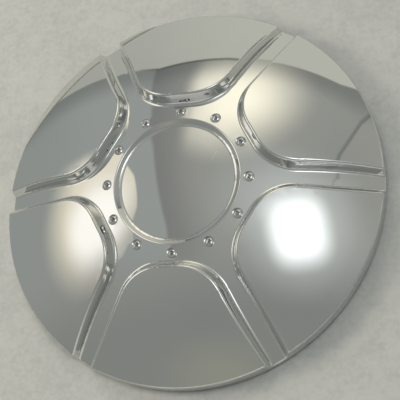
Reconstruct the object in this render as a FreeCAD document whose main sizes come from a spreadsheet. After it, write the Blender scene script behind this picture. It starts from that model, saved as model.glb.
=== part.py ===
import FreeCAD, Part
import os
import Sketcher
from FreeCAD import Placement, Rotation, Vector

# Face of the cap: two domes, one over the six panels and one under them.
cap_dia = 220.0
panel_count = 6
rim_base = 2.0
rim_high = 8.0
dome_rad = 223.0
web_more = 12.0
step_top = 7.45
wall = 3.0
spoke_crest = 6.7
spoke_foot = 3.8
hub_crest = 49.3
hub_foot = 46.0
corner_fill = 0.8
corner_top = 20.5
crest_round = 1.5
foot_round = 1.8
rim_round = 1.2

# Round recess in the middle.
recess_dia = 72.4
recess_run = 2.8
recess_deep = 2.2
recess_round = 0.9
floor_round = 2.4

# Decorative rivets, their seats and the bosses behind them.
rivet_count = 12
rivet_circle = 81.8
head_dia = 4.8
head_high = 1.4
head_edge = 0.6
seat_dia = 6.0
seat_drop = 0.35
socket_dia = 2.8
socket_deep = 1.0
shank_dia = 3.0
shank_gap = 0.05
boss_dia = 6.5
boss_long = 3.0

# Snap legs, their ribs and the wire ring inside them.
leg_count = 6
leg_out = 53.0
leg_thick = 3.0
leg_angle = 18.0
barb_out = 1.6
barb_low = 2.2
barb_flat = 1.0
barb_slope = 1.2
tip_in = 0.8
rib_thick = 2.2
rib_reach = 5.0
rib_drop = 11.0
wire_dia = 2.6
wire_gap = 0.15
groove_off = 0.3
wire_high = 3.2
wire_angle = 348.0

doc = FreeCAD.newDocument("center_cap")
sheet = doc.addObject("Spreadsheet::Sheet", "Sizes")
row = 0


def size(alias, value):
    """Put one named size or formula into the sheet."""
    global row
    row += 1
    cell = "B%d" % row
    sheet.set("A%d" % row, alias)
    sheet.set(cell, str(value) if not isinstance(value, str) else "=" + value)
    sheet.setAlias(cell, alias)


for alias, value in (
        ("cap_dia", cap_dia), ("panel_count", panel_count), ("rim_base", rim_base),
        ("rim_high", rim_high), ("dome_rad", dome_rad), ("web_more", web_more), ("step_top", step_top),
        ("wall", wall), ("spoke_crest", spoke_crest), ("spoke_foot", spoke_foot),
        ("hub_crest", hub_crest), ("hub_foot", hub_foot), ("corner_fill", corner_fill),
        ("corner_top", corner_top), ("crest_round", crest_round), ("foot_round", foot_round),
        ("rim_round", rim_round), ("recess_dia", recess_dia), ("recess_run", recess_run),
        ("recess_deep", recess_deep), ("recess_round", recess_round), ("floor_round", floor_round),
        ("rivet_count", rivet_count), ("rivet_circle", rivet_circle), ("head_dia", head_dia),
        ("head_high", head_high), ("head_edge", head_edge), ("seat_dia", seat_dia),
        ("seat_drop", seat_drop), ("socket_dia", socket_dia), ("socket_deep", socket_deep),
        ("shank_dia", shank_dia), ("shank_gap", shank_gap), ("boss_dia", boss_dia),
        ("boss_long", boss_long), ("leg_count", leg_count), ("leg_out", leg_out),
        ("leg_thick", leg_thick), ("leg_angle", leg_angle), ("barb_out", barb_out),
        ("barb_low", barb_low), ("barb_flat", barb_flat), ("barb_slope", barb_slope),
        ("tip_in", tip_in), ("rib_thick", rib_thick), ("rib_reach", rib_reach), ("rib_drop", rib_drop),
        ("wire_dia", wire_dia), ("wire_gap", wire_gap), ("groove_off", groove_off),
        ("wire_high", wire_high), ("wire_angle", wire_angle)):
    size(alias, value)

# Derived sizes.
size("cap_rad", "cap_dia / 2")
size("rim_top", "rim_base + rim_high")
size("dome_mid", "rim_top - sqrt(dome_rad ^ 2 - cap_rad ^ 2)")
size("dome_apex", "dome_mid + dome_rad")
size("web_rad", "dome_rad + web_more")
size("web_apex", "dome_apex - step_top")
size("web_mid", "web_apex - web_rad")
size("web_rim", "web_mid + sqrt(web_rad ^ 2 - cap_rad ^ 2)")
size("run_in", "1.14 * hub_crest")
size("crest_in", "dome_mid + sqrt(dome_rad ^ 2 - run_in ^ 2)")
size("foot_in", "web_mid + sqrt(web_rad ^ 2 - run_in ^ 2)")
size("half", "0.5")
size("root3", "sqrt(3) / 2")
size("side_c", "(spoke_crest - spoke_foot) / (crest_in - foot_in)")
size("side_b", "side_c * (crest_in - rim_top) / (cap_rad - run_in)")
size("side_a", "spoke_crest - side_b * run_in - side_c * crest_in")
size("side_len", "sqrt(1 + side_b ^ 2)")
size("side_thick", "wall * sqrt(1 + side_b ^ 2 + side_c ^ 2)")
size("dir_x", "(half - root3 * side_b) / side_len")
size("dir_y", "(root3 + half * side_b) / side_len")
size("lean", "dir_y / (1 + dir_x)")
size("hub_crest_z", "dome_mid + sqrt(dome_rad ^ 2 - hub_crest ^ 2)")
size("hub_foot_z", "web_mid + sqrt(web_rad ^ 2 - hub_foot ^ 2)")
size("hub_k", "(hub_crest - hub_foot) / (hub_crest_z - hub_foot_z)")
size("hub_thick", "wall * sqrt(1 + hub_k ^ 2)")
size("out_y", "1.06 * cap_rad")
size("top_z", "hub_crest_z + 4")
size("sky_z", "dome_apex + 10")
size("open_z", "rim_base - 2")
size("recess_rad", "recess_dia / 2")
size("floor_rad", "recess_rad - recess_run")
size("recess_z", "web_mid + sqrt(web_rad ^ 2 - recess_rad ^ 2)")
size("floor_z", "recess_z - recess_deep")
size("floor_dome", "web_rad - recess_deep")
size("floor_mid", "floor_z - sqrt(floor_dome ^ 2 - floor_rad ^ 2)")
size("floor_apex", "floor_mid + floor_dome")


def level(tag, z_name, shift_side, shift_hub, corner):
    """Sheet rows for one horizontal section of a raised panel."""
    size(tag + "_e", "side_a + side_c * %s + %s" % (z_name, shift_side))
    size(tag + "_y", "hub_crest + hub_k * (%s - hub_crest_z) + %s" % (z_name, shift_hub))
    size(tag + "_x", "(%s_y - half * %s_e) * dir_x / dir_y - root3 * %s_e" % (tag, tag, tag))
    size(tag + "_out", "(out_y - half * %s_e) * dir_x / dir_y - root3 * %s_e" % (tag, tag))
    size(tag + "_rad", corner)
    size(tag + "_tan", "%s_rad * lean" % tag)
    size(tag + "_nx", "%s_x - %s_tan" % (tag, tag))
    size(tag + "_sx", "%s_x + %s_tan * dir_x" % (tag, tag))
    size(tag + "_sy", "%s_y + %s_tan * dir_y" % (tag, tag))


level("skin_low", "rim_base", "0", "0", "corner_fill * skin_low_x / lean")
level("skin_top", "top_z", "0", "0", "corner_top")
level("core_low", "open_z", "side_thick", "hub_thick", "corner_fill * core_low_x / lean")
level("core_top", "top_z", "side_thick", "hub_thick", "corner_top - half * wall")

# Core of the shell: the two domes and the rim moved in by the wall.
size("core_rad", "cap_rad - wall")
size("core_dome", "dome_rad - wall")
size("core_web", "web_rad - wall")
size("core_web_rim", "web_mid + sqrt(core_web ^ 2 - core_rad ^ 2)")
size("core_edge", "max(core_web_rim; rim_base - 1)")
size("core_dome_rim", "dome_mid + sqrt(core_dome ^ 2 - core_rad ^ 2)")
size("core_recess", "recess_rad + 0.4 * wall")
size("core_recess_z", "web_mid + sqrt(core_web ^ 2 - core_recess ^ 2)")
size("core_floor", "floor_dome - wall")
size("core_floor_z", "floor_mid + sqrt(core_floor ^ 2 - core_recess ^ 2)")
size("core_floor_apex", "floor_mid + core_floor")

# Rivets and bosses.
size("rivet_rad", "rivet_circle / 2")
size("seat_edge", "rivet_rad + seat_dia / 2")
size("seat_z", "web_mid + sqrt(web_rad ^ 2 - seat_edge ^ 2) - seat_drop")
size("boss_top", "web_mid + sqrt(core_web ^ 2 - rivet_rad ^ 2) + wall / 3")
size("boss_end", "boss_top - wall / 3 - boss_long")
size("head_top", "seat_z + head_high")
size("head_rad", "head_dia / 2")
size("head_side", "seat_z + head_edge")
size("head_rise", "head_high - head_edge")
size("head_round", "(head_rad ^ 2 + head_rise ^ 2) / (2 * head_rise)")
size("head_mid", "head_top - head_round")
size("shank_rad", "shank_dia / 2")
size("shank_end", "boss_end + 0.5")
size("socket_rad", "socket_dia / 2")
size("socket_half", "socket_rad / 2")
size("socket_flat", "socket_rad * root3")
size("hole_rad", "shank_dia / 2 + shank_gap")

# Legs and ring.
size("leg_in", "leg_out - leg_thick")
size("leg_top", "web_mid + sqrt(core_web ^ 2 - leg_out ^ 2) + 0.4 * wall")
size("barb_rad", "leg_out + barb_out")
size("barb_mid", "barb_low + barb_flat")
size("barb_top", "barb_mid + barb_slope")
size("tip_rad", "leg_out - tip_in")
size("groove_rad", "wire_dia / 2 + wire_gap")
size("groove_mid", "leg_in - groove_off")
size("groove_half", "sqrt(groove_rad ^ 2 - groove_off ^ 2)")
size("groove_low", "wire_high - groove_half")
size("groove_top", "wire_high + groove_half")
size("rib_in", "leg_in - rib_reach")
size("rib_top", "web_mid + sqrt(core_web ^ 2 - leg_in ^ 2) + 0.3 * wall")
size("rib_low", "rib_top - rib_drop")
size("rib_in_top", "web_mid + sqrt(core_web ^ 2 - rib_in ^ 2) + 0.3 * wall")
size("wire_ring", "groove_mid + 2 * wire_gap / 3")
size("wire_rad", "wire_dia / 2")
doc.recompute()


def num(expression):
    """Value of a sheet expression, with bare aliases read from the sheet."""
    value = sheet.evalExpression(expression)
    return float(getattr(value, "Value", value))


def bound(expression):
    """The same expression as seen from another object of the document."""
    out = ""
    word = ""
    for sign in expression + " ":
        if sign.isalnum() or sign == "_":
            word += sign
            continue
        if word and word[0].isalpha() and word not in ("sqrt", "max", "min"):
            word = "Sizes." + word
        out += word + sign
        word = ""
    return out.strip()


def origin(body, role):
    """Origin plane or axis of a body."""
    for item in body.Origin.OriginFeatures:
        if item.Role == role:
            return item
    raise RuntimeError("no origin feature " + role)


def sketch(body, plane, name, lift=None, shift=None):
    """Empty sketch on an origin plane, lifted off it or shifted along it by a sheet value."""
    sk = body.newObject("Sketcher::SketchObject", name)
    sk.AttachmentSupport = [(origin(body, plane), "")]
    sk.MapMode = "FlatFace"
    if lift:
        sk.setExpression("AttachmentOffset.Base.z", bound(lift))
    if shift:
        sk.setExpression("AttachmentOffset.Base.x", bound(shift))
    return sk


def disc(body, plane, name, x, y, radius, lift=None, shift=None):
    """Sketch of one circle about (x, y)."""
    sk = sketch(body, plane, name, lift, shift)
    sk.addGeometry(Part.Circle(Vector(num(x), num(y), 0), Vector(0, 0, 1), num(radius)))
    for label, axis, text in (("x0", "DistanceX", x), ("y0", "DistanceY", y)):
        if text == "0":
            line = -2 if axis == "DistanceX" else -1
            sk.addConstraint(Sketcher.Constraint("PointOnObject", 0, 3, line))
            continue
        k = sk.addConstraint(Sketcher.Constraint(axis, -1, 1, 0, 3, num(text)))
        sk.renameConstraint(k, label)
        sk.setExpression("Constraints." + label, bound(text))
    k = sk.addConstraint(Sketcher.Constraint("Radius", 0, num(radius)))
    sk.renameConstraint(k, "r0")
    sk.setExpression("Constraints.r0", bound(radius))
    doc.recompute()
    return sk


def profile(body, plane, name, corners, arcs=None, lift=None, shift=None):
    """Closed sketch whose corners and arc radii are sheet expressions.

    arcs maps the index of a side to (radius, centre x, centre y).
    """
    arcs = arcs or {}
    sk = sketch(body, plane, name, lift, shift)
    points = [Vector(num(x), num(y), 0) for x, y in corners]
    count = len(points)
    ends = []
    for i in range(count):
        p = points[i]
        q = points[(i + 1) % count]
        if i not in arcs:
            sk.addGeometry(Part.LineSegment(p, q))
            ends.append((1, 2))
            continue
        radius = num(arcs[i][0])
        centre = Vector(num(arcs[i][1]), num(arcs[i][2]), 0)
        chord = (q - p).normalize()
        middle = (p + q) / 2
        out = middle - centre
        if out.Length < 1e-6:
            out = Vector(-chord.y, chord.x, 0)
        tip = centre + out.normalize() * radius
        arc = Part.Arc(p, tip, q)
        sk.addGeometry(arc)
        near = sk.getPoint(i, 1).distanceToPoint(p) < sk.getPoint(i, 2).distanceToPoint(p)
        ends.append((1, 2) if near else (2, 1))
    for i in range(count):
        j = (i + 1) % count
        sk.addConstraint(Sketcher.Constraint("Coincident", i, ends[i][1], j, ends[j][0]))
    for i in range(count):
        for axis, text, value in (("DistanceX", corners[i][0], points[i].x),
                                  ("DistanceY", corners[i][1], points[i].y)):
            pos = ends[i][0]
            if abs(value) < 1e-9:
                line = -2 if axis == "DistanceX" else -1
                sk.addConstraint(Sketcher.Constraint("PointOnObject", i, pos, line))
                continue
            label = "%s%d" % ("x" if axis == "DistanceX" else "y", i)
            if value > 0:
                rule = Sketcher.Constraint(axis, -1, 1, i, pos, value)
                text = bound(text)
            else:
                rule = Sketcher.Constraint(axis, i, pos, -1, 1, -value)
                text = "-(" + bound(text) + ")"
            k = sk.addConstraint(rule)
            sk.renameConstraint(k, label)
            sk.setExpression("Constraints." + label, text)
    for i in arcs:
        k = sk.addConstraint(Sketcher.Constraint("Radius", i, num(arcs[i][0])))
        sk.renameConstraint(k, "r%d" % i)
        sk.setExpression("Constraints.r%d" % i, bound(arcs[i][0]))
    doc.recompute()
    return sk


def feature(body, kind, name, **values):
    """PartDesign feature with its values, bound where they are text with an alias."""
    item = body.newObject("PartDesign::" + kind, name)
    for key, value in values.items():
        if isinstance(value, str):
            item.setExpression(key, bound(value))
        else:
            setattr(item, key, value)
    doc.recompute()
    return item


def turn(body, kind, name, sk, **values):
    """Revolution or groove of a sketch about the vertical axis of its plane."""
    item = feature(body, kind, name, Profile=sk, ReferenceAxis=(sk, ["V_Axis"]), **values)
    sk.Visibility = False
    return item


def ring_of(body, name, items, count):
    """Polar pattern about the cap's axis."""
    item = feature(body, "PolarPattern", name, Originals=items,
                   Axis=(origin(body, "Z_Axis"), [""]), Angle=360.0)
    item.setExpression("Occurrences", bound(count))
    body.Tip = item
    doc.recompute()
    return item


def need(item, before=None):
    """Stop where a step left no shape, or left the faces as they were before it."""
    if item.Shape.isNull():
        raise RuntimeError(item.Name + " has no shape")
    if before and len(item.Shape.Faces) == len(before.Shape.Faces):
        raise RuntimeError(item.Name + " changes nothing")
    return item


def section(body, name, tag, lift):
    """Horizontal section of one raised panel, symmetric about the Y axis."""
    nx, sx, ox = tag + "_nx", tag + "_sx", tag + "_out"
    y, sy = tag + "_y", tag + "_sy"
    rad = tag + "_rad"
    corners = [("-" + nx, y), (nx, y), (sx, sy), (ox, "out_y"), ("-" + ox, "out_y"), ("-" + sx, sy)]
    lift_centre = "%s + %s" % (y, rad)
    arcs = {1: (rad, nx, lift_centre), 5: (rad, "-" + nx, lift_centre)}
    return profile(body, "XY_Plane", name, corners, arcs, lift)


def domed(name, web_corners, web_arcs, tag, low, trim_corners, trim_arcs):
    """Web dome with six raised panels, trimmed to the panels' own dome and the rim."""
    body = doc.addObject("PartDesign::Body", name)
    sk = profile(body, "XZ_Plane", name + "Web", web_corners, web_arcs)
    web = need(turn(body, "Revolution", name + "Dome", sk, Angle=360.0))
    bottom = section(body, name + "PanelLow", tag + "_low", low)
    top = section(body, name + "PanelTop", tag + "_top", "top_z")
    panel = body.newObject("PartDesign::AdditiveLoft", name + "Panel")
    panel.Profile = bottom
    panel.Sections = [top]
    panel.Ruled = True
    doc.recompute()
    need(panel, web)
    six = need(ring_of(body, name + "Panels", [panel], "panel_count"), panel)
    sk = profile(body, "XZ_Plane", name + "Trim", trim_corners, trim_arcs)
    trim = need(turn(body, "Groove", name + "Top", sk, Angle=360.0), six)
    return body, trim


skin, skin_trim = domed(
    "Skin",
    [("0", "rim_base"), ("cap_rad", "rim_base"), ("cap_rad", "web_rim"), ("recess_rad", "recess_z"),
     ("floor_rad", "floor_z"), ("0", "floor_apex")],
    {2: ("web_rad", "0", "web_mid"), 4: ("floor_dome", "0", "floor_mid")},
    "skin", "rim_base",
    [("0", "dome_apex"), ("cap_rad", "rim_top"), ("cap_rad", "open_z"), ("out_y * 1.3", "open_z"),
     ("out_y * 1.3", "sky_z"), ("0", "sky_z")],
    {0: ("dome_rad", "0", "dome_mid")})


def kind_of(face):
    """Name the face of the domed form it lies on."""
    surface = face.Surface
    if isinstance(surface, Part.Sphere):
        near = [(abs(surface.Radius - num(alias)) + abs(surface.Center.z - num(mid)), kind)
                for kind, alias, mid in (("dome", "dome_rad", "dome_mid"), ("web", "web_rad", "web_mid"),
                                         ("floor", "floor_dome", "floor_mid"))]
        return min(near)[1]
    if isinstance(surface, Part.Cylinder):
        return "rim"
    if isinstance(surface, Part.Cone):
        return "recess"
    return "base" if isinstance(surface, Part.Plane) else "side"


def edges_between(shape, pairs):
    """Names of the edges where two kinds of face meet."""
    names = []
    for i, edge in enumerate(shape.Edges):
        faces = shape.ancestorsOfType(edge, Part.Face)
        kinds = tuple(sorted(kind_of(f) for f in faces))
        if kinds in pairs:
            names.append("Edge%d" % (i + 1))
    return names


def rounded(body, name, before, pairs, radius):
    """Fillet on every edge between the given kinds of face."""
    names = edges_between(before.Shape, pairs)
    return need(feature(body, "Fillet", name, Base=(before, names), Radius=radius), before)


foot = rounded(skin, "SkinFoot", skin_trim, [("side", "web")], "foot_round")
crest = rounded(skin, "SkinCrest", foot, [("dome", "side")], "crest_round")
rim = rounded(skin, "SkinRim", crest, [("dome", "rim"), ("rim", "web"), ("rim", "side")], "rim_round")
edge = rounded(skin, "SkinRecess", rim, [("recess", "web")], "recess_round")
lip = rounded(skin, "SkinFloor", edge, [("floor", "recess")], "floor_round")

core, core_trim = domed(
    "Core",
    [("0", "open_z"), ("core_rad", "open_z"), ("core_rad", "core_edge"), ("core_recess", "core_recess_z"),
     ("core_recess", "core_floor_z"), ("0", "core_floor_apex")],
    {2: ("core_web", "0", "web_mid"), 4: ("core_floor", "0", "floor_mid")},
    "core", "open_z",
    [("0", "core_dome + dome_mid"), ("core_rad", "core_dome_rim"), ("core_rad", "open_z - 2"),
     ("out_y * 1.3", "open_z - 2"), ("out_y * 1.3", "sky_z"), ("0", "sky_z")],
    {0: ("core_dome", "0", "dome_mid")})

shell = doc.addObject("Part::Cut", "Shell")
shell.Base = skin
shell.Tool = core
doc.recompute()
need(shell, lip)

# The moulded piece: the shell with its legs, ribs and bosses, then the seats and holes.
cap = doc.addObject("PartDesign::Body", "cap_shell")
cap.BaseFeature = shell
doc.recompute()
sk = profile(cap, "XZ_Plane", "LegSection",
             [("leg_in", "0"), ("tip_rad", "0"), ("barb_rad", "barb_low"), ("barb_rad", "barb_mid"),
              ("leg_out", "barb_top"), ("leg_out", "leg_top"), ("leg_in", "leg_top"),
              ("leg_in", "groove_top"), ("leg_in", "groove_low")],
             {7: ("groove_rad", "groove_mid", "wire_high")})
leg = turn(cap, "Revolution", "Leg", sk, Angle="leg_angle", Midplane=True)
legs = need(ring_of(cap, "Legs", [leg], "leg_count"), need(leg, shell))
sk = profile(cap, "XZ_Plane", "RibSection",
             [("leg_in + 0.3 * leg_thick", "rib_low"), ("leg_in + 0.3 * leg_thick", "rib_top"),
              ("rib_in", "rib_in_top")])
rib = feature(cap, "Pad", "Rib", Profile=sk, Length="rib_thick", Midplane=True)
ribs = need(ring_of(cap, "Ribs", [rib], "leg_count"), need(rib, legs))
sk = disc(cap, "XY_Plane", "BossCircle", "0", "0", "boss_dia / 2", "boss_end", "rivet_rad")
boss = feature(cap, "Pad", "Boss", Profile=sk, Length="boss_top - boss_end")
bosses = need(ring_of(cap, "Bosses", [boss], "rivet_count"), need(boss, ribs))
sk = disc(cap, "XY_Plane", "SeatCircle", "0", "0", "seat_dia / 2", "seat_z", "rivet_rad")
seat = feature(cap, "Pocket", "Seat", Profile=sk, Length="wall", Reversed=True)
seats = need(ring_of(cap, "Seats", [seat], "rivet_count"), need(seat, bosses))
sk = disc(cap, "XY_Plane", "HoleCircle", "0", "0", "hole_rad", "seat_z", "rivet_rad")
hole = feature(cap, "Pocket", "Hole", Profile=sk, Length="seat_z - boss_end + 1")
holes = need(ring_of(cap, "Holes", [hole], "rivet_count"), need(hole, seats))

# Press-in rivets, one solid each.
rivets = doc.addObject("PartDesign::Body", "rivets")
rivets.AllowCompound = True
sk = profile(rivets, "XZ_Plane", "RivetSection",
             [("0", "shank_end"), ("shank_rad", "shank_end"), ("shank_rad", "seat_z"),
              ("head_rad", "seat_z"), ("head_rad", "head_side"), ("0", "head_top")],
             {4: ("head_round", "0", "head_mid")}, shift="rivet_rad")
rivet = turn(rivets, "Revolution", "Rivet", sk, Angle=360.0)
sk = profile(rivets, "XY_Plane", "SocketHex",
             [("socket_rad", "0"), ("socket_half", "socket_flat"), ("-socket_half", "socket_flat"),
              ("-socket_rad", "0"), ("-socket_half", "-socket_flat"), ("socket_half", "-socket_flat")],
             lift="head_top", shift="rivet_rad")
socket = feature(rivets, "Pocket", "Socket", Profile=sk, Length="socket_deep")
studs = need(ring_of(rivets, "Studs", [rivet, socket], "rivet_count"), need(socket, rivet))

# Split wire ring, its gap between two legs.
ring = doc.addObject("PartDesign::Body", "retaining_ring")
sk = disc(ring, "XZ_Plane", "WireCircle", "wire_ring", "wire_high", "wire_rad")
wire = need(turn(ring, "Revolution", "Wire", sk, Angle="wire_angle", Midplane=True))
ring.Placement = Placement(Vector(0, 0, 0), Rotation(Vector(0, 0, 1), 30))
doc.recompute()

for item in doc.Objects:
    if "Invalid" in item.State or "Error" in item.State:
        raise RuntimeError("%s is %s" % (item.Name, item.State))
os.makedirs("parts", exist_ok=True)
for node, solids in ((cap, 1), (rivets, int(num("rivet_count"))), (ring, 1)):
    if not need(node).Shape.isValid() or len(node.Shape.Solids) != solids:
        raise RuntimeError("%s isn't %d sound solids" % (node.Label, solids))
    node.Shape.exportStep("parts/%s.step" % node.Label)
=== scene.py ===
"""Wheel center cap: mirror plating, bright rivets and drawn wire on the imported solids."""
import math

import bpy
from mathutils import Matrix, Vector


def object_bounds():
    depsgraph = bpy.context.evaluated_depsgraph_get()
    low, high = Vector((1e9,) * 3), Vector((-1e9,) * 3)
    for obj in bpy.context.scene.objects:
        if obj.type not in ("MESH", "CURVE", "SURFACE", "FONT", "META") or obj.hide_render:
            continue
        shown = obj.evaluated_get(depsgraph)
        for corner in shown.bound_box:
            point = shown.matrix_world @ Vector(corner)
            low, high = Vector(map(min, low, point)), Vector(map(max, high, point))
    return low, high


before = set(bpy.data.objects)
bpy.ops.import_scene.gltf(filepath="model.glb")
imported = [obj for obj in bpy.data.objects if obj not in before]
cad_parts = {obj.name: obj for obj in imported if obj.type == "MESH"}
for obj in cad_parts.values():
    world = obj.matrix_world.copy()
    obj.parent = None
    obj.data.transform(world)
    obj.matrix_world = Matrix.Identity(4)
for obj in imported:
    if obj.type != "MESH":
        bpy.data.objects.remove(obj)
cad_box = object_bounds()

# Sizes of the cap, in metres, as in the solids.
CAP_RADIUS = cad_box[1][0]
RIM_TOP = 0.010
LEG_CIRCLE = 0.060
LEG_ROOT = 0.016
RIVET_COUNT = 12.0
RIVET_CIRCLE = 0.0409
RIVET_HEAD = 0.0024
RIVET_SOCKET = 0.0014

# The photograph's camera, in cap radii about the middle of the panels' rim edge.
VIEW_TILT = math.radians(26.81)
VIEW_LEAN = math.radians(132.98)
VIEW_DISTANCE = 5.62
VIEW_SHIFT = (-0.066, 0.041)
FOCAL_PIXELS = 1108.0
FRAME_PIXELS = 400.0
SENSOR = 36.0
CLIP_START = 0.01

# Plating and steel: a tint, and a shade that clouds it.
PLATING = (0.72, 0.725, 0.712, 1.0)
PLATING_SHADE = (0.67, 0.675, 0.67, 1.0)
RIVET_PLATING = (0.78, 0.78, 0.77, 1.0)
RIVET_SHADE = (0.66, 0.66, 0.65, 1.0)
WIRE_STEEL = (0.42, 0.41, 0.39, 1.0)
WIRE_SHADE = (0.24, 0.23, 0.22, 1.0)

# Back and legs of the cap: share of grey, and roughness added.
BACK_GREY = (0.55, 0.55, 0.54, 1.0)
BACK_SHARE = 0.6
BACK_DULL = 0.22
BACK_TURN = (-0.05, -0.15)

# Fine wear of plated metal: scales of its patterns, and the turns of the rub marks in radians.
CLOUD_SCALE = 18.0
CLOUD_DETAIL = 3.0
CLOUD_EDGE = (0.45, 0.75)
CLOUD_HAZE = 0.35
CLOUD_SHADE = 0.5
MARK_TURNS = (0.4, 1.35, 2.5)
MARK_STRETCH = 24.0
MARK_GRAIN = 0.4
MARK_EDGE = (0.68, 0.74)
MARK_DEPTH = -0.6
PATCH_SCALE = 30.0
PATCH_EDGE = (0.5, 0.7)
PEEL_SCALE = 90.0
FINE_DETAIL = 1.0

# Painted shade round the rivets, in the sockets, under the edges of the heads and on the seat ring:
# shares of its colour, and the widths over which it fades, in metres.
PAINTED_SHADE_COLOUR = (0.17, 0.165, 0.15, 1.0)
SEAT_SHADE_SHARE = 0.25
SEAT_FADE = 0.0003
SOCKET_FADE = 0.0004
EDGE_SHADE_SHARE = 0.3
EDGE_FADE = 0.0006
SHADE_BREAK_SCALE = 900.0
SHADE_BREAK = (0.35, 0.65, 0.25, 0.8)

# Single scratches: a strength, then points in millimetres from the cap's axis, seen from the front.
SCRATCHES = [(1.0, [(22.3, 16.3), (19.3, 11.2)]),
             (0.5, [(73.7, 51.5), (79.4, 45.5), (85.3, 40.9)]),
             (0.2, [(-22.7, 19.7), (-12.5, 13.7), (-1.9, 8.2)])]
MM_PER_METRE = 1000.0
SCRATCH_WHITE = (0.93, 0.93, 0.91, 1.0)
SCRATCH_HALF = 0.00018
SCRATCH_CORE = 0.3
SCRATCH_SHARE = 0.6
SCRATCH_DULL = 0.2
FACE_TURN = (0.3, 0.6)

# Paper floor: its colours, then the scale, detail and share of each layer of mottling.
PAPER = (0.408, 0.403, 0.376, 1.0)
PAPER_SHADE = (0.343, 0.343, 0.327, 1.0)
PAPER_LAYERS = ((22.0, 4.0, 0.35), (120.0, 3.0, 0.30), (330.0, 3.0, 0.35))
PAPER_GRAIN = 0.6
PAPER_EDGE = (0.36, 0.62)
PAPER_ROUGH = 0.85
PAPER_SHINE = 0.2
COCKLE_SCALE = 60.0
COCKLE_DETAIL = 4.0
COCKLE_DEPTH = 0.002
COCKLE_STRENGTH = 0.25
FLOOR_HALF = 4.0

# Lamps on the paper: name, off the axis and azimuth in degrees, watts and colour; the rest in metres.
LAMPS = (("warm_left", 60.0, 178.0, 10.8, (1.0, 0.965, 0.84)),
         ("warm_top", 48.0, 112.0, 3.0, (1.0, 0.97, 0.91)),
         ("overhead", 12.0, 0.0, 5.8, (0.90, 0.95, 1.0)))
LAMP_DISTANCE = 1.3
LAMP_SIZE = 0.6

# The room that the plating mirrors. A triple is a direction from the cap, and a pair gives the reach
# along it where a change starts and where it ends.
ROOM_LEVEL = 1.19
ROOM_SEEN = (0.42, 0.412, 0.378, 1.0)

# Right, top and bottom of the picture, and the cap's axis.
RIGHT = (1.0, 0.0, 0.0)
TOP = (0.0, 1.0, 0.0)
BOTTOM = (0.0, -1.0, 0.0)
AXIS = Vector((0.0, 0.0, 1.0))

# Plain walls, and a pale front at the bottom.
WALL_LOW = (0.245, 0.252, 0.24, 1.0)
WALL_HIGH = (0.315, 0.322, 0.306, 1.0)
WALL_RISE = (-0.45, 0.03)
FRONT_PALE = (0.54, 0.54, 0.52, 1.0)
FRONT_RISE = (0.74, 0.90)

# Left corner of the room: the left wall is paler near it, and the middle wall is darkest at it.
LEFT_CORNER = (0.898, 0.3135, 0.309)
LEFT_CORNER_EDGE = (-0.028, -0.004)
MIDDLE_DARK = (0.74, 0.735, 0.74, 1.0)
MIDDLE_PLAIN = (1.04, 1.03, 1.01, 1.0)
MIDDLE_FADE = (-0.016, 0.254)
LEFT_FAR = (0.95, 0.985, 0.985, 1.0)
LEFT_PALE = (1.05, 1.09, 1.11, 1.0)
LEFT_FADE = (-0.6, -0.2)
LEFT_CORNER_RISE = (-0.2, 0.05)

# Right corner of the room: the middle wall darkens a little towards it, up to a thin dark line.
RIGHT_CORNER = (0.8261, -0.4821, -0.2918)
MIDDLE_END = (1.0, 1.0, 1.0, 1.0)
MIDDLE_END_DARK = (0.95, 0.96, 0.96, 1.0)
MIDDLE_END_FADE = (-0.30, -0.02)
RIGHT_LINE = (0.62, 0.63, 0.63, 1.0)
RIGHT_LINE_EDGE = (-0.024, -0.006)
RIGHT_PLAIN = (1.0, 1.0, 0.985, 1.0)
RIGHT_CORNER_EDGE = (-0.004, 0.008)
RIGHT_CORNER_RISE = (0.2, 0.4)

# Sheet of paper beyond the top of the frame, the shade before it and the dark line on its left.
SHEET_UPPER = (0.0896, 0.442, -0.892)
SHEET_LEFT = (0.4667, 0.5444, -0.6953)
SHEET_EDGE = (-0.005, 0.008)
SHEET_SHADE = (0.40, 0.405, 0.37, 1.0)
SHEET_PAPER = (0.515, 0.515, 0.455, 1.0)
SHEET_FADE = (-0.75, 0.0)
SHADE_GREY = (0.18, 0.185, 0.18, 1.0)
SHADE_SHARE = 0.2
SHADE_EDGE = (-0.18, -0.01)
DIM_LEVEL = (0.74, 0.75, 0.75, 1.0)
DIM_EDGE = (-0.17, -0.01)
LINE_DARK = (0.10, 0.10, 0.09, 1.0)
LINE_SHARE = 0.75
LINE_EDGE = (-0.022, -0.004)
LINE_START = (-0.50, -0.40)
LINE_END = (0.0, -0.10)

# Lights on the walls: off the axis, azimuth, half sizes outward and sideways, all in degrees, then the
# share of those sizes with full light. A glow is the colour that the light adds.
WARM_LEFT_FRAME = (60.0, 168.0, 27.0, 24.5, 0.975)
WARM_LEFT = (49.0, 160.0, 21.0, 31.0, 0.4)
WARM_LEFT_GLOW = (0.505, 0.43, 0.305, 1.0)
WARM_LEFT_SCREEN = (-0.686, 0.669, 0.285)
WARM_LEFT_SCREEN_EDGE = (0.966, 0.944)
HOT_LEFT = (46.0, 170.0, 15.0, 19.0, 0.35)
HOT_LEFT_GLOW = (0.32, 0.345, 0.41, 1.0)
WARM_TOP = (47.6, 94.3, 24.0, 25.5, 0.12)
WARM_TOP_GLOW = (0.86, 0.80, 0.62, 1.0)
WARM_TOP_SCREEN = (0.98, 0.0, 0.196)
WARM_TOP_SCREEN_EDGE = (-0.20, -0.10)
COLD = (22.3, 5.5, 12.6, 15.2, 0.22)
COLD_TURN = 8.0
COLD_GLOW = (1.08, 1.12, 1.15, 1.0)
COLD_HALO = (23.0, 9.0, 25.0, 28.0, 0.1)
COLD_HALO_GLOW = (0.30, 0.33, 0.335, 1.0)
FAINT_BOTTOM = (46.0, 263.0, 18.0, 24.0, 0.1)
FAINT_BOTTOM_GLOW = (0.05, 0.045, 0.012, 1.0)
FAINT_RIGHT = (18.0, 65.0, 22.0, 20.0, 0.1)
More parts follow.
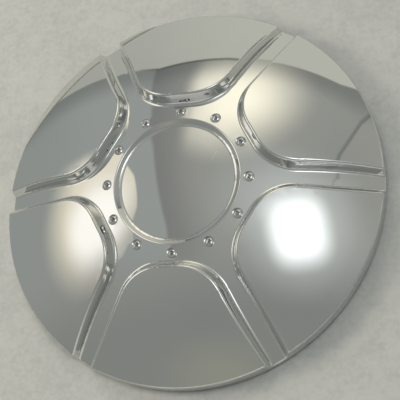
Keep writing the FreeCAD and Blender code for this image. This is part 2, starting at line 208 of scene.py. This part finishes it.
FAINT_RIGHT_GLOW = (0.095, 0.105, 0.115, 1.0)
OVAL_BEND = 2.0
SQUARE_BEND = 2.8

FLOAT = "NodeSocketFloat"
COLOUR = "NodeSocketColor"


class Nodes:
    """Small helper that adds nodes to a tree and links them."""

    def __init__(self, tree):
        self.tree = tree
        tree.nodes.clear()

    def add(self, kind, inputs=None, **settings):
        made = self.tree.nodes.new(kind)
        for key, value in settings.items():
            setattr(made, key, value)
        for key, value in (inputs or {}).items():
            self.put(made.inputs[key], value)
        return made

    def put(self, socket, value):
        if isinstance(value, bpy.types.NodeSocket):
            self.tree.links.new(value, socket)
        else:
            socket.default_value = value

    def math(self, operation, *values):
        made = self.add("ShaderNodeMath", operation=operation)
        for socket, value in zip(made.inputs, values):
            self.put(socket, value)
        return made.outputs[0]

    def vector(self, operation, *values):
        made = self.add("ShaderNodeVectorMath", operation=operation)
        for socket, value in zip(made.inputs, values):
            self.put(socket, value)
        return made

    def dot(self, a, b):
        return self.vector("DOT_PRODUCT", a, b).outputs["Value"]

    def length(self, a):
        return self.vector("LENGTH", a).outputs["Value"]

    def ramp(self, value, low, high, to_low=0.0, to_high=1.0):
        made = self.add("ShaderNodeMapRange", interpolation_type="SMOOTHSTEP")
        for key, item in (("Value", value), ("From Min", low), ("From Max", high),
                          ("To Min", to_low), ("To Max", to_high)):
            self.put(made.inputs[key], item)
        return made.outputs[0]

    def mix(self, factor, a, b, blend="MIX"):
        made = self.add("ShaderNodeMix", data_type="RGBA", blend_type=blend)
        self.put(made.inputs["Factor"], factor)
        self.put(made.inputs["A"], a)
        self.put(made.inputs["B"], b)
        return made.outputs["Result"]

    def tint(self, factor, colour, by, blend):
        return self.mix(factor, colour, self.mix(1.0, colour, by, blend))

    def noise(self, vector, scale, detail=2.0, roughness=0.5):
        made = self.add("ShaderNodeTexNoise", {"Vector": vector, "Scale": scale, "Detail": detail,
                                               "Roughness": roughness})
        return made.outputs["Fac"]


def group(name, inputs, outputs):
    """Empty shader node group with named sockets, and its helper, input and output nodes."""
    tree = bpy.data.node_groups.new(name, "ShaderNodeTree")
    for label, kind, value in inputs:
        socket = tree.interface.new_socket(label, in_out="INPUT", socket_type=kind)
        socket.default_value = value
    for label, kind in outputs:
        tree.interface.new_socket(label, in_out="OUTPUT", socket_type=kind)
    n = Nodes(tree)
    return tree, n, n.add("NodeGroupInput"), n.add("NodeGroupOutput")


def fine_wear_group():
    """Hairline rub marks, handling haze and a faint orange-peel height for plated metal."""
    tree, n, given, out = group(
        "fine_wear",
        [("Tint", COLOUR, (1, 1, 1, 1)), ("Shade", COLOUR, (1, 1, 1, 1)), ("Smooth", FLOAT, 0.03),
         ("Haze", FLOAT, 0.05), ("Mark Scale", FLOAT, 60.0), ("Marks", FLOAT, 0.3)],
        [("Colour", COLOUR), ("Roughness", FLOAT), ("Height", FLOAT)])
    at = n.add("ShaderNodeTexCoord").outputs["Object"]
    cloud = n.ramp(n.noise(at, CLOUD_SCALE, CLOUD_DETAIL), *CLOUD_EDGE)
    marks = []
    for turn in MARK_TURNS:
        lay = n.add("ShaderNodeMapping", {"Vector": at, "Rotation": (0.0, 0.0, turn),
                                          "Scale": (1.0, MARK_STRETCH, 1.0)})
        lines = n.noise(lay.outputs["Vector"], given.outputs["Mark Scale"], FINE_DETAIL, MARK_GRAIN)
        marks.append(n.ramp(lines, *MARK_EDGE))
    lines = n.math("MAXIMUM", n.math("MAXIMUM", marks[0], marks[1]), marks[2])
    patch = n.ramp(n.noise(at, PATCH_SCALE, FINE_DETAIL), *PATCH_EDGE)
    lines = n.math("MULTIPLY", n.math("MULTIPLY", lines, patch), given.outputs["Marks"])
    worn = n.math("ADD", n.math("MULTIPLY", cloud, CLOUD_HAZE), lines)
    haze = n.math("MULTIPLY", worn, given.outputs["Haze"])
    n.put(out.inputs["Roughness"], n.math("ADD", given.outputs["Smooth"], haze))
    n.put(out.inputs["Colour"], n.mix(n.math("MULTIPLY", cloud, CLOUD_SHADE), given.outputs["Tint"],
                                      given.outputs["Shade"]))
    peel = n.noise(at, PEEL_SCALE, FINE_DETAIL)
    n.put(out.inputs["Height"], n.math("ADD", peel, n.math("MULTIPLY", lines, MARK_DEPTH)))
    return tree


def rivet_reach_group():
    """Distance of a point from the axis of the nearest rivet on the hub circle, in metres."""
    tree, n, given, out = group("rivet_reach", [("Count", FLOAT, 12.0), ("Circle", FLOAT, 0.04)],
                                [("Reach", FLOAT)])
    at = n.add("ShaderNodeSeparateXYZ", {"Vector": n.add("ShaderNodeTexCoord").outputs["Object"]})
    flat = n.add("ShaderNodeCombineXYZ", {"X": at.outputs["X"], "Y": at.outputs["Y"]})
    radius = n.length(flat.outputs["Vector"])
    pitch = n.math("DIVIDE", 2.0 * math.pi, given.outputs["Count"])
    angle = n.math("ARCTAN2", at.outputs["Y"], at.outputs["X"])
    nearest = n.math("MULTIPLY", n.math("ROUND", n.math("DIVIDE", angle, pitch)), pitch)
    off = n.math("SUBTRACT", angle, nearest)
    outward = n.math("SUBTRACT", n.math("MULTIPLY", radius, n.math("COSINE", off)),
                     given.outputs["Circle"])
    sideways = n.math("MULTIPLY", radius, n.math("SINE", off))
    apart = n.add("ShaderNodeCombineXYZ", {"X": outward, "Y": sideways})
    n.put(out.inputs["Reach"], n.length(apart.outputs["Vector"]))
    return tree


FINE_WEAR = fine_wear_group()
RIVET_REACH = rivet_reach_group()


def rivet_distance(n):
    """Places the rivet distance group in a material and returns its output."""
    made = n.add("ShaderNodeGroup", node_tree=RIVET_REACH)
    made.inputs["Count"].default_value = RIVET_COUNT
    made.inputs["Circle"].default_value = RIVET_CIRCLE
    return made.outputs["Reach"]


def metal(name, tint, shade, smooth, haze, mark_scale, marks, peel):
    """Metal material on the fine wear group; returns it with its helper, group and shader nodes."""
    made = bpy.data.materials.new(name)
    made.use_nodes = True
    n = Nodes(made.node_tree)
    wear = n.add("ShaderNodeGroup", node_tree=FINE_WEAR)
    for key, value in (("Tint", tint), ("Shade", shade), ("Smooth", smooth), ("Haze", haze),
                       ("Mark Scale", mark_scale), ("Marks", marks)):
        wear.inputs[key].default_value = value
    bump = n.add("ShaderNodeBump", {"Strength": 1.0, "Distance": peel, "Height": wear.outputs["Height"]})
    shader = n.add("ShaderNodeBsdfPrincipled", {"Base Color": wear.outputs["Colour"], "Metallic": 1.0,
                                                "Roughness": wear.outputs["Roughness"],
                                                "Normal": bump.outputs["Normal"]})
    n.add("ShaderNodeOutputMaterial", {"Surface": shader.outputs["BSDF"]})
    return made, n, wear, shader


def hairlines(n, at, runs, half_width):
    """Mask of single scratches seen from the front; each run is a strength and its points."""
    mask = 0.0
    for strength, run in runs:
        for start, end in zip(run, run[1:]):
            a = Vector((*start, 0.0)) / MM_PER_METRE
            b = Vector((*end, 0.0)) / MM_PER_METRE
            along = (b - a).normalized()
            away = n.vector("SUBTRACT", at, a).outputs["Vector"]
            done = n.math("MINIMUM", n.math("MAXIMUM", n.dot(away, along), 0.0), (b - a).length)
            foot = n.add("ShaderNodeVectorMath", {"Scale": done}, operation="SCALE")
            n.put(foot.inputs[0], along)
            gap = n.vector("DISTANCE", away, foot.outputs["Vector"]).outputs["Value"]
            line = n.ramp(gap, half_width, half_width * SCRATCH_CORE, 0.0, strength)
            mask = n.math("MAXIMUM", mask, line)
    return mask


def cap_plating():
    """Mirror plating on the face, duller and a little grey on the back and the legs."""
    made, n, wear, shader = metal("cap_plating", PLATING, PLATING_SHADE, smooth=0.02, haze=0.05,
                                  mark_scale=45.0, marks=0.5, peel=4e-7)
    place = n.add("ShaderNodeTexCoord")
    at = n.add("ShaderNodeSeparateXYZ", {"Vector": place.outputs["Object"]})
    facing = n.add("ShaderNodeSeparateXYZ", {"Vector": place.outputs["Normal"]})
    flat = n.add("ShaderNodeCombineXYZ", {"X": at.outputs["X"], "Y": at.outputs["Y"]})
    under = n.ramp(facing.outputs["Z"], *BACK_TURN)
    legs = n.math("MULTIPLY", n.math("LESS_THAN", n.length(flat.outputs["Vector"]), LEG_CIRCLE),
                  n.math("LESS_THAN", at.outputs["Z"], LEG_ROOT))
    back = n.math("MAXIMUM", under, legs)
    dull = n.math("ADD", wear.outputs["Roughness"], n.math("MULTIPLY", back, BACK_DULL))
    colour = n.mix(n.math("MULTIPLY", back, BACK_SHARE), wear.outputs["Colour"], BACK_GREY)
    # Painted shade on the cap in a thin ring round each rivet head, where the head meets its seat.
    painted_shade = n.ramp(rivet_distance(n), RIVET_HEAD + SEAT_FADE, RIVET_HEAD)
    colour = n.mix(n.math("MULTIPLY", painted_shade, SEAT_SHADE_SHARE), colour, PAINTED_SHADE_COLOUR)
    scratch = n.math("MULTIPLY", hairlines(n, flat.outputs["Vector"], SCRATCHES, SCRATCH_HALF),
                     n.ramp(facing.outputs["Z"], *FACE_TURN))
    colour = n.mix(n.math("MULTIPLY", scratch, SCRATCH_SHARE), colour, SCRATCH_WHITE)
    n.put(shader.inputs["Base Color"], colour)
    n.put(shader.inputs["Roughness"], n.math("ADD", dull, n.math("MULTIPLY", scratch, SCRATCH_DULL)))
    return made


def rivet_plating():
    """Plated rivet heads with painted shade in the socket and a little under the edge of the head."""
    made, n, wear, shader = metal("rivet_plating", RIVET_PLATING, RIVET_SHADE, smooth=0.05, haze=0.12,
                                  mark_scale=160.0, marks=0.6, peel=8e-7)
    reach = rivet_distance(n)
    # Painted shade in the socket and under the edge of the head, broken up by noise.
    socket = n.ramp(reach, RIVET_SOCKET, RIVET_SOCKET - SOCKET_FADE)
    edge = n.ramp(reach, RIVET_HEAD - EDGE_FADE, RIVET_HEAD, 0.0, EDGE_SHADE_SHARE)
    at = n.add("ShaderNodeTexCoord").outputs["Object"]
    broken = n.ramp(n.noise(at, SHADE_BREAK_SCALE), *SHADE_BREAK)
    painted_shade = n.math("MULTIPLY", n.math("MAXIMUM", socket, edge), broken)
    n.put(shader.inputs["Base Color"], n.mix(painted_shade, wear.outputs["Colour"], PAINTED_SHADE_COLOUR))
    return made


def spring_wire():
    """Drawn steel wire, dull and well rubbed."""
    return metal("spring_wire", WIRE_STEEL, WIRE_SHADE, smooth=0.26, haze=0.3, mark_scale=220.0,
                 marks=0.8, peel=2e-6)[0]


def dress(node, material):
    """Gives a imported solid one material."""
    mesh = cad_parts[node].data
    mesh.materials.clear()
    mesh.materials.append(material)


def direction(off_axis, azimuth):
    """Unit vector that leans off +Z towards an azimuth, both in degrees."""
    t, a = math.radians(off_axis), math.radians(azimuth)
    return Vector((math.sin(t) * math.cos(a), math.sin(t) * math.sin(a), math.cos(t)))


def light_mask(n, at, off_axis, azimuth, radial, tangential, core, turn=0.0, bend=OVAL_BEND):
    """Light on the walls, oval or squarish: full inside its core, gone at its half sizes."""
    c = direction(off_axis, azimuth)
    along = AXIS.cross(c).normalized()
    along.rotate(Matrix.Rotation(math.radians(turn), 3, c))
    across = along.cross(c).normalized()
    u = n.dot(at, across / math.sin(math.radians(radial)))
    v = n.dot(at, along / math.sin(math.radians(tangential)))
    bent = n.math("ADD", n.math("POWER", n.math("ABSOLUTE", u), bend),
                  n.math("POWER", n.math("ABSOLUTE", v), bend))
    inside = n.ramp(n.math("POWER", bent, 1.0 / bend), 1.0, core)
    return n.math("MULTIPLY", inside, n.math("GREATER_THAN", n.dot(at, c), 0.0))


def plain_walls(n, at):
    """Grey walls, lighter towards the top of the picture, with a pale front at the bottom."""
    colour = n.mix(n.ramp(n.dot(at, TOP), *WALL_RISE), WALL_LOW, WALL_HIGH)
    return n.mix(n.ramp(n.dot(at, BOTTOM), *FRONT_RISE), colour, FRONT_PALE)


def left_corner(n, at, colour):
    """Corner on the left of the room, between the left wall and the middle wall."""
    corner = n.dot(at, LEFT_CORNER)
    middle = n.mix(n.ramp(corner, *MIDDLE_FADE), MIDDLE_DARK, MIDDLE_PLAIN)
    left = n.mix(n.ramp(corner, *LEFT_FADE), LEFT_FAR, LEFT_PALE)
    wall = n.mix(n.ramp(corner, *LEFT_CORNER_EDGE), left, middle)
    return n.tint(n.ramp(n.dot(at, TOP), *LEFT_CORNER_RISE), colour, wall, "MULTIPLY")


def right_corner(n, at, colour):
    """Corner on the right of the room, between the middle wall and the right wall."""
    corner = n.dot(at, RIGHT_CORNER)
    wall = n.mix(n.ramp(corner, *MIDDLE_END_FADE), MIDDLE_END, MIDDLE_END_DARK)
    wall = n.mix(n.ramp(corner, *RIGHT_LINE_EDGE), wall, RIGHT_LINE)
    wall = n.mix(n.ramp(corner, *RIGHT_CORNER_EDGE), wall, RIGHT_PLAIN)
    return n.tint(n.ramp(n.dot(at, TOP), *RIGHT_CORNER_RISE), colour, wall, "MULTIPLY")


def wall_lights(n, at, colour):
    """Two warm lights with their screens, a cold one with its halo, and two faint glows."""
    warm_left = n.math("MULTIPLY", light_mask(n, at, *WARM_LEFT_FRAME), light_mask(n, at, *WARM_LEFT))
    warm_left = n.math("MULTIPLY", warm_left,
                       n.ramp(n.dot(at, WARM_LEFT_SCREEN), *WARM_LEFT_SCREEN_EDGE))
    hot_left = n.math("MULTIPLY", light_mask(n, at, *HOT_LEFT), warm_left)
    warm_top = n.math("MULTIPLY", light_mask(n, at, *WARM_TOP),
                      n.ramp(n.dot(at, WARM_TOP_SCREEN), *WARM_TOP_SCREEN_EDGE))
    cold = light_mask(n, at, *COLD, COLD_TURN, SQUARE_BEND)
    for mask, glow in ((warm_left, WARM_LEFT_GLOW), (hot_left, HOT_LEFT_GLOW), (warm_top, WARM_TOP_GLOW),
                       (light_mask(n, at, *COLD_HALO), COLD_HALO_GLOW),
                       (light_mask(n, at, *FAINT_BOTTOM), FAINT_BOTTOM_GLOW),
                       (light_mask(n, at, *FAINT_RIGHT), FAINT_RIGHT_GLOW), (cold, COLD_GLOW)):
        colour = n.tint(mask, colour, glow, "ADD")
    return colour


def paper_sheet(n, at, beyond, colour):
    """Sheet with two straight edges, dim walls before it and a dark line on its left half."""
    across = n.dot(at, RIGHT)
    colour = n.tint(n.ramp(beyond, *DIM_EDGE), colour, DIM_LEVEL, "MULTIPLY")
    ends = n.math("MULTIPLY", n.ramp(across, *LINE_START), n.ramp(across, *LINE_END))
    line = n.math("MULTIPLY", n.ramp(beyond, *LINE_EDGE), ends)
    colour = n.mix(n.math("MULTIPLY", line, LINE_SHARE), colour, LINE_DARK)
    paper = n.mix(n.ramp(across, *SHEET_FADE), SHEET_SHADE, SHEET_PAPER)
    return n.mix(n.ramp(beyond, *SHEET_EDGE), colour, paper)


def studio_world():
    """The room that the plating mirrors: walls with two corners, lights on them and a paper sheet."""
    world = bpy.data.worlds.new("studio")
    world.use_nodes = True
    n = Nodes(world.node_tree)
    at = n.add("ShaderNodeTexCoord").outputs["Generated"]
    beyond = n.math("MINIMUM", n.dot(at, SHEET_UPPER), n.dot(at, SHEET_LEFT))
    colour = right_corner(n, at, left_corner(n, at, plain_walls(n, at)))
    shade = n.math("MULTIPLY", n.ramp(beyond, *SHADE_EDGE), SHADE_SHARE)
    colour = wall_lights(n, at, n.mix(shade, colour, SHADE_GREY))
    colour = paper_sheet(n, at, beyond, colour)
    ray = n.add("ShaderNodeLightPath")
    colour = n.mix(ray.outputs["Is Camera Ray"], colour, ROOM_SEEN)
    back = n.add("ShaderNodeBackground", {"Color": colour, "Strength": ROOM_LEVEL})
    n.add("ShaderNodeOutputWorld", {"Surface": back.outputs["Background"]})
    bpy.context.scene.world = world


def paper():
    """Pale paper, faintly mottled and cockled."""
    made = bpy.data.materials.new("paper")
    made.use_nodes = True
    n = Nodes(made.node_tree)
    at = n.add("ShaderNodeTexCoord").outputs["Object"]
    blotch = 0.0
    for scale, detail, share in PAPER_LAYERS:
        layer = n.math("MULTIPLY", n.noise(at, scale, detail, PAPER_GRAIN), share)
        blotch = n.math("ADD", blotch, layer)
    colour = n.mix(n.ramp(blotch, *PAPER_EDGE), PAPER_SHADE, PAPER)
    bump = n.add("ShaderNodeBump", {"Strength": COCKLE_STRENGTH, "Distance": COCKLE_DEPTH,
                                    "Height": n.noise(at, COCKLE_SCALE, COCKLE_DETAIL)})
    shader = n.add("ShaderNodeBsdfPrincipled", {"Base Color": colour, "Roughness": PAPER_ROUGH,
                                                "Specular IOR Level": PAPER_SHINE,
                                                "Normal": bump.outputs["Normal"]})
    n.add("ShaderNodeOutputMaterial", {"Surface": shader.outputs["BSDF"]})
    return made


def paper_floor():
    """Wide flat floor of paper under the cap."""
    mesh = bpy.data.meshes.new("paper_floor")
    half = FLOOR_HALF
    mesh.from_pydata([(-half, -half, 0), (half, -half, 0), (half, half, 0), (-half, half, 0)], [],
                     [(0, 1, 2, 3)])
    mesh.materials.append(paper())
    floor = bpy.data.objects.new("paper_floor", mesh)
    bpy.context.scene.collection.objects.link(floor)


def lamp(name, off_axis, azimuth, power, colour):
    """Soft area lamp that lights the paper; the plating mirrors the room instead."""
    data = bpy.data.lights.new(name, "AREA")
    data.shape = "DISK"
    data.size = LAMP_SIZE
    data.energy = power
    data.color = colour
    made = bpy.data.objects.new(name, data)
    towards = direction(off_axis, azimuth)
    made.location = towards * LAMP_DISTANCE
    made.rotation_mode = "QUATERNION"
    made.rotation_quaternion = towards.to_track_quat("Z", "Y")
    made.visible_glossy = False
    bpy.context.scene.collection.objects.link(made)


def photo_camera():
    """Camera with the photograph's tilt, roll, distance and focal length."""
    ct, st = math.cos(VIEW_LEAN), math.sin(VIEW_LEAN)
    ca, sa = math.cos(VIEW_TILT), math.sin(VIEW_TILT)
    right = Vector((ct * ca * ct + st * st, st * ca * ct - ct * st, sa * ct))
    up = Vector((ct * ca * st - st * ct, st * ca * st + ct * ct, sa * st))
    back = Vector((-ct * sa, -st * sa, ca))
    place = (right * -VIEW_SHIFT[0] + up * -VIEW_SHIFT[1] + back * VIEW_DISTANCE) * CAP_RADIUS
    place.z += RIM_TOP
    data = bpy.data.cameras.new("photo_camera")
    data.sensor_width = SENSOR
    data.lens = FOCAL_PIXELS / FRAME_PIXELS * SENSOR
    data.clip_start = CLIP_START
    made = bpy.data.objects.new("photo_camera", data)
    made.matrix_world = Matrix.Translation(place) @ Matrix((right, up, back)).transposed().to_4x4()
    bpy.context.scene.collection.objects.link(made)
    bpy.context.scene.camera = made


dress("cap_shell", cap_plating())
dress("rivets", rivet_plating())
dress("retaining_ring", spring_wire())
studio_world()
paper_floor()
for settings in LAMPS:
    lamp(*settings)
photo_camera()
bpy.context.scene.view_settings.view_transform = "Standard"
